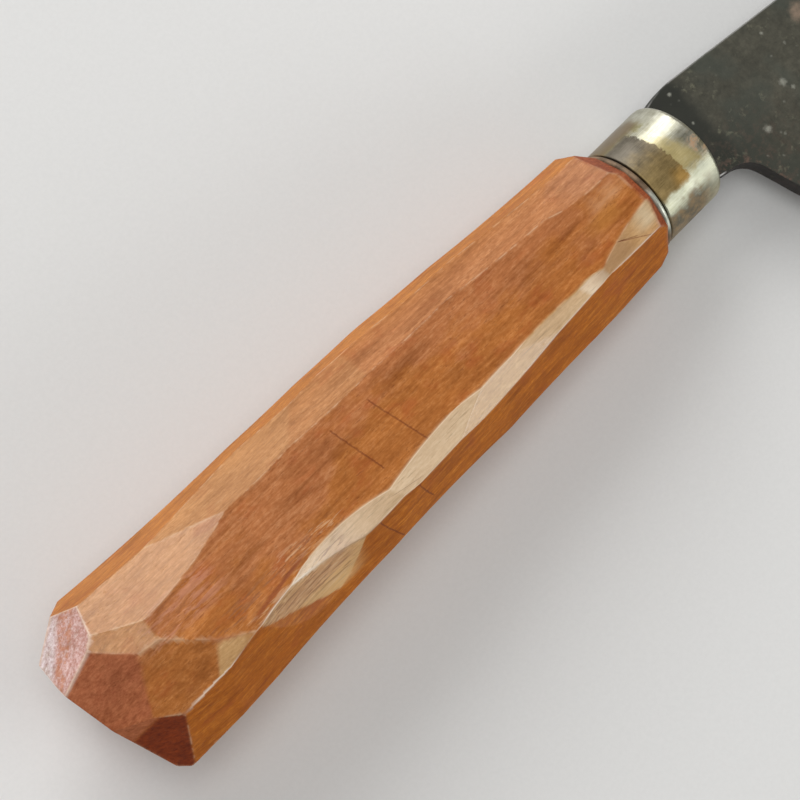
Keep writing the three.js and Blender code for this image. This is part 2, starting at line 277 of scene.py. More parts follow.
lower_outline = np.vstack((
    ((NECK_BACK, -NECK_BOTTOM),),
    bezier((
        (CHOIL_X - CHOIL_ROUND, choil_y + CHOIL_DROP * CHOIL_ROUND / CHOIL_X),
        (CHOIL_X, choil_y),
        (CHOIL_X + heel_slope * CHOIL_ROUND, choil_y - CHOIL_ROUND),
    )),
    edge_outline,
))


def tang_halves(u):
    """Half the tang's height and half its thickness at a distance from the ferrule: both taper evenly."""
    share = (u + TANG_LENGTH) / TANG_LENGTH
    height = TANG_END_HEIGHT + (TANG_HEIGHT - TANG_END_HEIGHT) * share
    thickness = TANG_END_THICKNESS + (TANG_THICKNESS - TANG_END_THICKNESS) * share
    return height / 2, thickness / 2


# What the blade's points carry for its paint.
BLADE_MARKS = ("above_edge", "above_low", "arris", "side")


def blade_surface():
    """Sections across the knife from the tang's end to the tip. Each runs from the middle of the spine over
    a rounded corner, down the flat and the bevel to the edge and back up the other side. The half thickness
    is the smaller of the thinned flat and the bevel, blended where they meet, with a slow unevenness from
    the hammer. With the points come four marks: the height above the edge's line, the same above the lower
    outline, the rounded corners and the narrow lower side."""
    tang = np.linspace(-TANG_LENGTH, NECK_BACK - 0.001, 12)
    blade = np.concatenate((
        np.arange(NECK_BACK, CHOIL_X, 0.25),
        np.arange(CHOIL_X, HEEL_X, 0.12),
        np.arange(HEEL_X, SPINE_STRAIGHT_TO, 1.1),
        BLADE_REACH - drop_run * np.linspace(1, 0.0004, 110) ** 1.5,
    ))
    u = np.concatenate((tang, blade))
    in_tang = u < NECK_BACK
    tang_half, tang_half_thickness = tang_halves(np.minimum(u, 0))
    top = np.where(in_tang, tang_half, np.interp(u, *spine_outline.T))
    low = np.where(in_tang, -tang_half, np.interp(u, *lower_outline.T))
    height = top - low
    # How far down a section its points lie: half the spine, a corner, the flat, a corner and half the edge.
    corner = np.radians(np.linspace(0, 90, 7))
    flat = np.linspace(0, 1, 70)[1:-1]
    rounding = np.minimum(CORNER_ROUND, 0.45 * height)[:, None]
    down = np.hstack((
        np.zeros((len(u), POINTS_ACROSS)),
        rounding * (1 - np.cos(corner)),
        rounding + (height[:, None] - 2 * rounding) * flat,
        height[:, None] - rounding * (1 - np.sin(corner)),
        np.repeat(height[:, None], POINTS_ACROSS, axis=1),
    ))
    y = top[:, None] - down
    edge_slope = (edge_outline[1, 1] - edge_outline[0, 1]) / (edge_outline[1, 0] - edge_outline[0, 0])
    edge_y = np.interp(u, *edge_outline.T) + np.minimum(u - HEEL_X, 0) * edge_slope
    thinned = np.clip((u - THINNED_FROM) / (BLADE_REACH - THINNED_FROM), 0, 1)
    flat_half = (SPINE_THICKNESS + (TIP_THICKNESS - SPINE_THICKNESS) * thinned) / 2
    bevel = (SPINE_THICKNESS - EDGE_THICKNESS) / 2 / BEVEL_HEIGHT
    above_edge = y - edge_y[:, None]
    ground = EDGE_THICKNESS / 2 + bevel * np.maximum(above_edge, 0)
    both = np.exp(-flat_half[:, None] / BEVEL_BLEND) + np.exp(-ground / BEVEL_BLEND)
    half = -BEVEL_BLEND * np.log(both)
    half = np.where(in_tang[:, None], tang_half_thickness[:, None], half)
    # How far out the same points lie, as shares of the half thickness.
    middle = np.linspace(0, 0.8, POINTS_ACROSS + 1)[:POINTS_ACROSS]
    wide = np.hstack((
        np.tile(middle, (len(u), 1)),
        1 - np.minimum(rounding, 0.2 * half[:, :1]) / half[:, :1] * (1 - np.sin(corner)),
        np.ones((len(u), len(flat))),
        1 - np.minimum(rounding, 0.2 * half[:, -1:]) / half[:, -1:] * (1 - np.cos(corner)),
        np.tile(middle[::-1], (len(u), 1)),
    ))
    uneven = 0.5 + 0.5 * np.sin(0.9 * u[:, None] + 0.5 * y) * np.sin(0.55 * y - 0.31 * u[:, None] + 1.0)
    worn_flat = np.where(in_tang[:, None], 0, np.clip((ground - half) / 0.2, 0, 1))
    z = half * wide * (1 - HAMMERED * uneven * worn_flat * wide)
    x = np.repeat(u[:, None], y.shape[1], axis=1) + FERRULE_FRONT
    arris = np.zeros_like(y)
    rounded_off = slice(POINTS_ACROSS, POINTS_ACROSS + len(corner))
    arris[:, rounded_off] = arris[:, ::-1][:, rounded_off] = np.sin(2 * corner)
    side = np.zeros_like(y)
    side[:, -POINTS_ACROSS - len(corner) // 2:] = 1
    parts = (x, y, above_edge, height[:, None] - down, arris, side)
    x, y, *marks = (np.hstack((part, part[:, -2:0:-1])) for part in parts)
    return in_frame(x, y, np.hstack((z, -z[:, -2:0:-1]))), dict(zip(BLADE_MARKS, marks))


def mark(piece, layers):
    """Puts named values for the points of a grid on a piece as attributes. Its two closing points take the
    means of the ends."""
    for name, values in layers.items():
        values = np.concatenate((values.ravel(), (values[0].mean(), values[-1].mean())))
        layer = piece.data.attributes.new(name, "FLOAT", "POINT")
        layer.data.foreach_set("value", values.astype(np.float32))


# Each rubbed spot painted as a glint on the upper flat, and the stain: distance from the ferrule,
# height and size.
RUBBED_GLINT_SPOTS = (
    (5.1, 1.4, 0.35), (5.7, 7.4, 0.5), (14.3, -7.9, 0.95),
    (22.5, -4.1, 0.9), (23.3, -5.9, 0.5), (26.1, 4.0, 0.45),
)
SPINE_STAIN = (34.2, 2.2, 2.6)


def forge_scale():
    """Black forge scale, olive grey in clouds, with painted shade by the ferrule and on the narrow lower
    side by the choil, pale rubbed spots painted bright as glints, specks, rust along the choil, a stain by
    the spine, worn corners that are bare by the ferrule, and a satin ground edge with lengthwise scratches."""
    at = knife_space("forge_scale")
    above_edge, above_low, arris, side = at.marks(BLADE_MARKS)
    out = at.axis(0) - FERRULE_FRONT
    cloud = at.noise(0.09, 4, 0.6)
    fine = at.noise(0.9, 5, 0.65)

    def spot(place, height, size):
        """A ragged spot on the upper flat."""
        middle = (FERRULE_FRONT + place, height, SPINE_THICKNESS / 2)
        away = at.node("ShaderNodeVectorMath", {"operation": "DISTANCE"}, {0: at, 1: middle}, 1)
        return (away + 1.6 * size * (at.noise(1.3 / size, 4, 0.7) - 0.5)).between(1.1 * size, 0)

    scale = (0.5 * cloud + 0.5 * fine).ramp(
        (0.34, (0.04, 0.039, 0.028)), (0.5, (0.066, 0.063, 0.045)), (0.66, (0.1, 0.094, 0.068)),
    )
    tone = (0.6 * at.noise(0.11, 2, 0.5).between(0.46, 0.6)).mix(scale, (0.056, 0.064, 0.05))
    # Painted shade: the scale is darker towards the ferrule.
    ferrule_shade = (out + 4 * cloud).between(11, 8)
    tone = (0.85 * ferrule_shade).mix(tone, (0.017, 0.019, 0.014))
    choil = out.between(26, 8) * at.axis(1).between(2, -9)
    tone = (0.6 * choil).mix(tone, (0.025, 0.026, 0.017))
    flaking = above_low.between(2.2, 0.1) * out.span(2, 3.5, 16, 26)
    rust = (0.3 * choil + flaking).math("MINIMUM", 1.0) * at.noise(0.7, 4, 0.7).between(0.47, 0.6)
    tone = (0.8 * rust).mix(tone, (0.13, 0.078, 0.056))
    # Painted shade: the narrow lower side by the choil is darkened nearly to black.
    tone = (0.9 * side * choil).mix(tone, (0.014, 0.01, 0.008))
    stain = spot(*SPINE_STAIN) * (0.3 + 1.2 * fine)
    tone = (0.7 * stain).mix(tone, (0.34, 0.24, 0.17))
    crusted = at.noise(0.13, 2).between(0.47, 0.6)
    flecks = at.noise(0.6, 4, 0.65).between(0.54, 0.72) * crusted
    tone = (0.55 * flecks).mix(tone, (0.2, 0.195, 0.13))
    pins = (at.cells(0.5) + 0.5 * (fine - 0.5)).between(0.2, 0.02)
    bright = 0.5 * pins * at.noise(0.3, 2).between(0.56, 0.66)
    # Painted highlight: the rubbed spots are painted bright as glints, over the specks.
    for place, height, size in RUBBED_GLINT_SPOTS:
        bright = spot(place, height, size) + bright
    bright = bright.math("MINIMUM", 1.0)
    tone = (0.55 * bright).mix(tone, (0.46, 0.46, 0.39))
    worn = arris * (1 - 0.9 * flaking) * at.noise(0.25, 3).between(0.3, 0.6)
    tone = (0.7 * worn).mix(tone, (0.3, 0.29, 0.28))
    bared = arris * above_low.between(1, 0.5) * out.between(3.4, 2.4)
    tone = (0.9 * bared).mix(tone, (0.66, 0.66, 0.64))
    ground = (above_edge + 2.5 * (at.noise(0.16, 3) - 0.5)).between(7.6, 6.8)
    brushed = at.stretched(0.03).noise(9.0, 4, 0.6)
    steel = brushed.ramp((0.3, (0.3, 0.3, 0.29)), (0.7, (0.5, 0.5, 0.48)))
    colour = ground.mix(tone, steel)
    roughness = 0.5 + 0.2 * fine - 0.2 * bright - 0.2 * ground + 0.15 * ferrule_shade
    metallic = 0.25 + 0.65 * ground + 0.2 * worn
    height = 0.6 * cloud + 0.5 * fine + 0.5 * bright + 0.4 * flecks - 0.5 * ground * (1 - brushed)
    return finish("forge_scale", colour, roughness, metallic, height, bump=0.4, depth=0.0003)


blade_points, blade_marks = blade_surface()
blade = skin("forged_blade", blade_points)
mark(blade, blade_marks)
blade.data.materials.append(forge_scale())
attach(blade, "root")
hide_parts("blade")


# Bedding: dark resin poured round the tang, which fills the slot in the wood and the ferrule's mouth.
# It sets hard and holds the blade; only its flat front shows, between the neck and the ferrule's rim.
def set_resin():
    """Near-black brown resin with dust and small pits."""
    at = knife_space("set_resin")
    dust = at.noise(0.8, 4)
    pits = at.cells(1.4).between(0.2, 0.05)
    colour = dust.ramp((0.35, (0.012, 0.008, 0.006)), (0.7, (0.04, 0.028, 0.02)))
    return finish("set_resin", colour, 0.5 + 0.3 * dust, 0.0, dust - pits)


bedding = frame["nodes"]["tang_bedding"]
bedding.data.materials.clear()
bedding.data.materials.append(set_resin())

# Handle: one piece of close-grained reddish wood, whittled to shape. Every facet is a run of long
# hollow knife cuts that meet at sharp ridges; a spigot takes the ferrule and a slot takes the tang.
SHOULDER_RADIUS, BUTT_SWELL, HANDLE_LENGTH = 9.9, 5.7, 120.5
TAPER = BUTT_SWELL / HANDLE_LENGTH
SPIGOT_RADIUS, SPIGOT_LENGTH = 8.0, 10.0
SLOT_MARGIN = 1.4
BUTT_CENTRE = -105.0
RIDGE_SOFTNESS, CUT_BLEND, RIDGE_MARK_REACH = 0.02, 0.1, 0.12
SHARP_DEGREES, POLE_DEGREES = 7, 179.6
BODY_ROWS, FAN_ROWS, FACET_COLUMNS, GATHERED = 225, 155, 25, 0.75
# The distance that stands for a cut which a ray doesn't meet.
MISSED = 99.0
# How the wood of a cut looks: warmth, wax, paleness (1 is tan and 2 is cream), redness, darkness and torn
# end grain, each nil where it isn't named. The pale to cream looks of the strip towards the edge are lighter
# worn wood with a painted highlight; the red and dark looks are darker end grain with painted shade.
WOOD_MARKS = ("warm", "wax", "pale", "red", "dark", "torn")
CUT_LOOKS = {
    "plain": dict(wax=0.12),
    "warm": dict(warm=1.0),
    "honey": dict(warm=1.0, wax=0.06, pale=0.18),
    "rosy": dict(wax=0.2, pale=0.1),
    "satin": dict(warm=0.1, wax=0.4, pale=0.25),
    "glossy": dict(warm=0.2, wax=0.48, pale=0.38),
    "cream": dict(wax=0.5, pale=0.9),
    "tan": dict(wax=0.3, pale=0.85),
    "bright": dict(wax=0.75, pale=1.0),
    "buff": dict(wax=0.4, pale=1.32),
    "pale": dict(wax=0.75, pale=1.42),
    "paler": dict(wax=0.6, pale=1.65),
    "palest": dict(wax=0.6, pale=2.0),
    "toasted": dict(warm=1.0, dark=0.1),
    "red": dict(wax=0.1, red=1.0),
    "nose": dict(wax=0.1, red=1.0, dark=0.5),
    "dark": dict(warm=0.6, red=0.2, dark=1.0),
    "torn": dict(wax=0.1, red=0.3, torn=1.0),
}
# Each row: hollow, then cuts of (middle behind the shoulder, length, stand-off from the taper, degrees
# towards the edge, look).
CUT_ROWS = (
    (0.25, (
        (106, 26, 1.4, -73, "honey"), (82, 24, 2.5, -72, "honey"), (59, 24, 3.2, -73, "honey"),
        (36, 24, 2.9, -71, "honey"), (11, 26, 2.3, -72, "honey"),
    )),
    (0.3, (
        (110, 18, 0.2, -32, "glossy"), (88, 20, 1.5, -50, "glossy"), (66, 24, 2.2, -43, "satin"),
        (45, 24, 2.1, -42, "rosy"), (24, 24, 1.8, -41, "rosy"), (6, 16, 1.5, -33, "rosy"),
    )),
    (0.2, (
        (103, 34, -0.6, -5, "plain"), (72, 32, -0.4, -3, "plain"), (41, 26, -0.3, -5, "plain"),
        (12, 28, 0.5, -3, "plain"),
    )),
    (0.3, (
        (88, 12.6, -1.6, 54, "tan"), (79.5, 14, 0.2, 27, "pale"), (56, 22, 0.7, 20, "paler"),
        (40, 18, 0.6, 33, "bright"), (33, 18, 0.85, 24, "buff"), (20.5, 9, 1.4, 21, "palest"),
        (0, 18, 0.8, 17, "tan"),
    )),
    (0.2, (
        (109, 30, -1.9, 60, "toasted"), (83, 26, -0.2, 62, "warm"), (59, 30, -0.5, 64, "warm"),
        (35, 28, -0.4, 62, "warm"), (11, 28, -0.1, 63, "warm"),
    )),
    (0.2, (
        (105, 34, -1.6, 102, "warm"), (79, 24, -2.2, 104, "rosy"), (55, 32, -0.4, 104, "plain"),
        (21, 46, 1.0, 103, "warm"),
    )),
    (0.25, ((95, 36, 1.2, 146, "satin"), (61, 34, 1.4, 149, "rosy"), (25, 38, 2.0, 145, "plain"))),
    (0.1, ((91, 60, -0.1, 183, "plain"), (29, 64, 0.4, 181, "plain"))),
    (0.25, ((99, 34, 0.6, 222, "rosy"), (67, 32, 0.9, 226, "satin"), (33, 36, 0.8, 221, "rosy"))),
    (0.2, ((95, 40, 1.3, 253, "warm"), (57, 38, 2.5, 253, "plain"), (17, 42, 2.0, 253, "warm"))),
)
# Each butt cut: degrees of dip off the axis, degrees towards the edge, distance from the axis point at the
# butt, look.
BUTT_CUTS = (
    (10, 16, 11.8, "cream"), (6, 60, 11.3, "toasted"), (14, 13, 10.5, "plain"), (11, -7, 12.4, "glossy"),
    (25, 7, 9.1, "red"), (34, 58, 6.7, "dark"), (32, -52, 11.3, "torn"), (64, 161, -0.7, "red"),
    (30, -107, 10.7, "red"), (73, -162, 2.4, "torn"), (37, 131, 6.0, "red"), (38, -132, 7.5, "red"),
)
# Each nose cut: degrees of dip off the axis and degrees towards the edge, through the shoulder's circle.
NOSE_CUTS = (
    (46, -72), (34, -36), (28, -4), (34, 26), (30, 63),
    (34, 103), (33, 146), (24, 181), (33, 222), (46, 253),
)


def long_cut_distance(row, x, slant, turn):
    """Distance from the axis point x to each cut of a row, along a ray at an angle round the axis that leans
    along the axis by slant: the root of ray height = reach + taper + hollow arc."""
    hollow, cuts = CUT_ROWS[row]
    behind, length, standoff, facing = (np.array(c, dtype=float) for c in list(zip(*cuts))[:4])
    arc = length**2 / (8 * hollow)
    x, slant, turn = x[..., None], slant[..., None], turn[..., None]
    offset = x + behind
    start = SHOULDER_RADIUS + TAPER * behind + standoff - TAPER * offset + offset**2 / (2 * arc)
    rate = slant * (offset / arc - TAPER)
    bend = slant**2 / (2 * arc)
    closing = np.sqrt(1 - slant**2) * np.cos(turn - np.radians(facing)) - rate
    inside = closing**2 - 4 * bend * start
    meets = (closing > 1e-3) & (inside > 0)
    return np.where(meets, 2 * start / (closing + np.sqrt(np.where(meets, inside, 1.0)) + (~meets)), MISSED)


def end_cut_distance(x, slant, turn):
    """Distance along the same rays to the flat cuts of the butt and the nose."""
    butt_dip, butt_facing, butt_far = (np.array(c, dtype=float) for c in list(zip(*BUTT_CUTS))[:3])
    nose_dip, nose_facing = np.array(NOSE_CUTS, dtype=float).T
    dip = np.radians(np.concatenate((-butt_dip, nose_dip)))
    facing = np.radians(np.concatenate((butt_facing, nose_facing)))
    far = np.concatenate((butt_far, SHOULDER_RADIUS * np.cos(np.radians(nose_dip))))
    plane_x = np.where(dip < 0, -HANDLE_LENGTH, 0.0)
    x, slant, turn = x[..., None], slant[..., None], turn[..., None]
    gap = far - np.sin(dip) * (x - plane_x)
    closing = np.sin(dip) * slant + np.cos(dip) * np.sqrt(1 - slant**2) * np.cos(turn - facing)
    return np.where(closing > 1e-3, gap / np.maximum(closing, 1e-3), MISSED)


def cut_distances(rays):
    """Distance along each ray (start on the axis, lean, turn round the axis) to every cut of the handle."""
    start, lean, turn = rays
    slant = np.cos(lean)
    rows = [long_cut_distance(row, start, slant, turn) for row in range(len(CUT_ROWS))]
    return np.concatenate((*rows, end_cut_distance(start, slant, turn)), axis=-1)


def ridge_angles(x):
    """For each place along the axis, the angle at which each row of cuts meets the next, found by halving."""
    level = np.zeros_like(x)
    facing = np.radians([np.mean([cut[3] for cut in cuts]) for _, cuts in CUT_ROWS])
    ridges = []
    for row in range(len(CUT_ROWS)):
        after = (row + 1) % len(CUT_ROWS)
        low = np.full_like(x, facing[row])
        high = np.full_like(x, facing[after] + (2 * np.pi if after == 0 else 0))
        for _ in range(40):
            middle = (low + high) / 2
            mine = long_cut_distance(row, x, level, middle).min(axis=-1)
            other = long_cut_distance(after, x, level, middle).min(axis=-1)
            low, high = np.where(mine < other, middle, low), np.where(mine < other, high, middle)
        ridges.append((low + high) / 2)
    return np.stack(ridges, axis=-1)


def to_ridges(rays):
    """The same rays, each moved on to a ridge where one crosses the grid within half a step of it. Between
    two neighbours on different cuts the ridge is where the distances to those cuts come to the same."""
    reach = cut_distances(rays)
    cut = reach.argmin(axis=-1)[..., None]
    best = np.full(cut.shape[:2], 0.5)
    moved = rays.copy()
    for axis, way in ((0, 1), (0, -1), (1, 1), (1, -1)):
        step = np.roll(rays, way, axis + 1) - rays
        step[2] = (step[2] + np.pi) % (2 * np.pi) - np.pi
        there, other = np.roll(reach, way, axis), np.roll(cut, way, axis)
        here_gap = np.take_along_axis(reach, other, -1) - np.take_along_axis(reach, cut, -1)
        there_gap = np.take_along_axis(there, cut, -1) - np.take_along_axis(there, other, -1)
        share = (here_gap / np.maximum(here_gap + there_gap, 1e-9))[..., 0]
        nearer = (other != cut)[..., 0] & (share < best)
        if axis == 0:
            nearer[[0, -1]] = False
        moved = np.where(nearer, rays + share * step, moved)
        best = np.where(nearer, share, best)
    return moved


def off_cuts(points):
    """How far points (x, y, z) lie off the nearest cut, along the rays of the same fan and body."""
    x, y, z = points
    start = np.maximum(x, BUTT_CENTRE)
    length = np.sqrt((x - start) ** 2 + y**2 + z**2)
    reach = cut_distances((start, np.arccos((x - start) / length), np.arctan2(-y, z)))
    return np.abs(reach.min(axis=-1) - length)


def handle_surface():
    """Rays from the axis: straight out along the handle, then fanning round the butt to its pole, with
    columns gathered at the ridges. The front goes on over the shoulder, along the spigot and back down the
    tang's slot. Each ray ends at its nearest cut, softened at the ridges by the log of a sum of exponentials,
    and each square is split along the diagonal whose middle lies nearer to the cuts, so that ridges run
    unbroken. With the points come the splits and the distance to every cut."""
    body = np.linspace(BUTT_CENTRE, 0, BODY_ROWS)
    ridges = ridge_angles(body)
    ridges = np.hstack((ridges[:, -1:] - 2 * np.pi, ridges))
    step = np.arange(FACET_COLUMNS) / FACET_COLUMNS
    step = step - GATHERED * np.sin(2 * np.pi * step) / (2 * np.pi)
    turn = (ridges[:, :-1, None] + np.diff(ridges, axis=1)[:, :, None] * step).reshape(len(body), -1)
    columns = turn.shape[1]
    fan = np.radians(np.linspace(POLE_DEGREES, 90, FAN_ROWS)[:-1])
    lean = np.concatenate((fan, np.full(len(body), np.pi / 2)))[:, None] * np.ones(columns)
    start = np.concatenate((np.full(len(fan), BUTT_CENTRE), body))[:, None] * np.ones(columns)
    turn = np.vstack((np.repeat(turn[:1], len(fan), axis=0), turn))
    rays = to_ridges(np.stack((start, lean, turn)))
    reach = cut_distances(rays)
    nearest = reach.min(axis=-1, keepdims=True)
    spread = np.exp(-np.minimum((reach - nearest) / RIDGE_SOFTNESS, 60)).sum(axis=-1)
    length = nearest[..., 0] - RIDGE_SOFTNESS * np.log(spread)
    start, lean, turn = rays
    x = start + length * np.cos(lean)
    radius = length * np.sin(lean)
    front = turn[-1]
    slot_places = np.array((SPIGOT_LENGTH, SPIGOT_LENGTH, FERRULE_FRONT - TANG_LENGTH - SLOT_MARGIN))
    half_height, half_wide = (h[:, None] + SLOT_MARGIN for h in tang_halves(slot_places[1:] - FERRULE_FRONT))
    slot = np.minimum(
        half_height / np.maximum(np.abs(np.sin(front)), 1e-6),
        half_wide / np.maximum(np.abs(np.cos(front)), 1e-6),
    )
    spigot = np.full((2, columns), SPIGOT_RADIUS)
    carved = np.stack((x, -radius * np.sin(turn), radius * np.cos(turn)))
    across, ahead = np.roll(carved, -1, axis=2), carved[:, 1:]
    split = off_cuts((carved[:, :-1] + across[:, 1:]) / 2) < off_cuts((across[:, :-1] + ahead) / 2)
    x = np.vstack((x, np.zeros((1, columns)), np.repeat(slot_places[:, None], columns, axis=1)))
    radius = np.vstack((radius, spigot, slot))
    turn = np.vstack((turn, np.repeat(front[None], 4, axis=0)))
    reach = np.concatenate((reach, np.repeat(reach[-1:], 4, axis=0)))
    split = np.vstack((split, np.ones((4, columns), dtype=bool)))
    return in_frame(x, -radius * np.sin(turn), radius * np.cos(turn)), split, reach


def cut_marks(reach):
    """The look of each point: the looks of all cuts, shared out by how near each cut is, and a mark for the
    ridges, which fades away from them and is left out where the two nearest cuts hardly turn."""
    long_cuts = [cut for _, cuts in CUT_ROWS for cut in cuts]
    looks = [cut[4] for cut in long_cuts] + [cut[3] for cut in BUTT_CUTS] + ["nose"] * len(NOSE_CUTS)
    table = np.array([[CUT_LOOKS[look].get(name, 0.0) for name in WOOD_MARKS] for look in looks])
    dip = np.radians([0] * len(long_cuts) + [-cut[0] for cut in BUTT_CUTS] + [cut[0] for cut in NOSE_CUTS])
    facing = np.radians([cut[3] for cut in long_cuts] + [cut[1] for cut in BUTT_CUTS + NOSE_CUTS])
    normals = np.stack((np.sin(dip), np.cos(dip) * np.sin(facing), np.cos(dip) * np.cos(facing)), axis=-1)
    behind = reach - reach.min(axis=-1, keepdims=True)
    first, second = np.moveaxis(np.argpartition(behind, 1, axis=-1)[..., :2], -1, 0)
    bend = np.sqrt(np.maximum(1 - np.sum(normals[first] * normals[second], axis=-1) ** 2, 1e-6))
    gap = np.take_along_axis(behind, second[..., None], -1)[..., 0]
    ridge = np.exp(-gap / (RIDGE_MARK_REACH * bend)) * np.clip((bend - 0.2) / 0.15, 0, 1)
    blend = CUT_BLEND * np.maximum(bend, 0.05)[..., None]
    share = np.exp(-np.minimum(behind / blend, 60))
    share /= share.sum(axis=-1, keepdims=True)
    return dict(zip((*WOOD_MARKS, "ridge"), (*np.moveaxis(share @ table, -1, 0), ridge)))


# Each line scored across the wood: place at the top of the handle, millimetres along for each degree round,
# and the degrees between which it runs.
SCORED_LINES = (
    (-58.3, 0.051, -28, 18), (-66.4, 0.044, -30, 12), (-67.0, 0.107, 35, 64), (-76.2, 0.119, 36, 72),
    (-16.5, 0.364, 17, 36), (-17.4, 0.42, 18, 26), (-97.2, 1.07, 27, 33),
)
# Slanting lines near the butt: degrees round for each millimetre along, and degrees at the shoulder.
TEAR_SLOPE, TEAR_TURN = 2.33, 252.0
BREAK_SLOPE, BREAK_TURN = -2.0, -294.0
GROOVE_SLOPE, GROOVE_TURN = -0.473, -27.1
# Soft edges of painted fields, along and round the handle.
SOFT_ALONG, SOFT_ROUND = 2.5, 4.0


def round_angle(at):
    """Degrees round the handle's axis from its top towards the edge."""
    return (-1.0 * at.axis(1)).math("ARCTAN2", at.axis(2)) * (180 / math.pi)


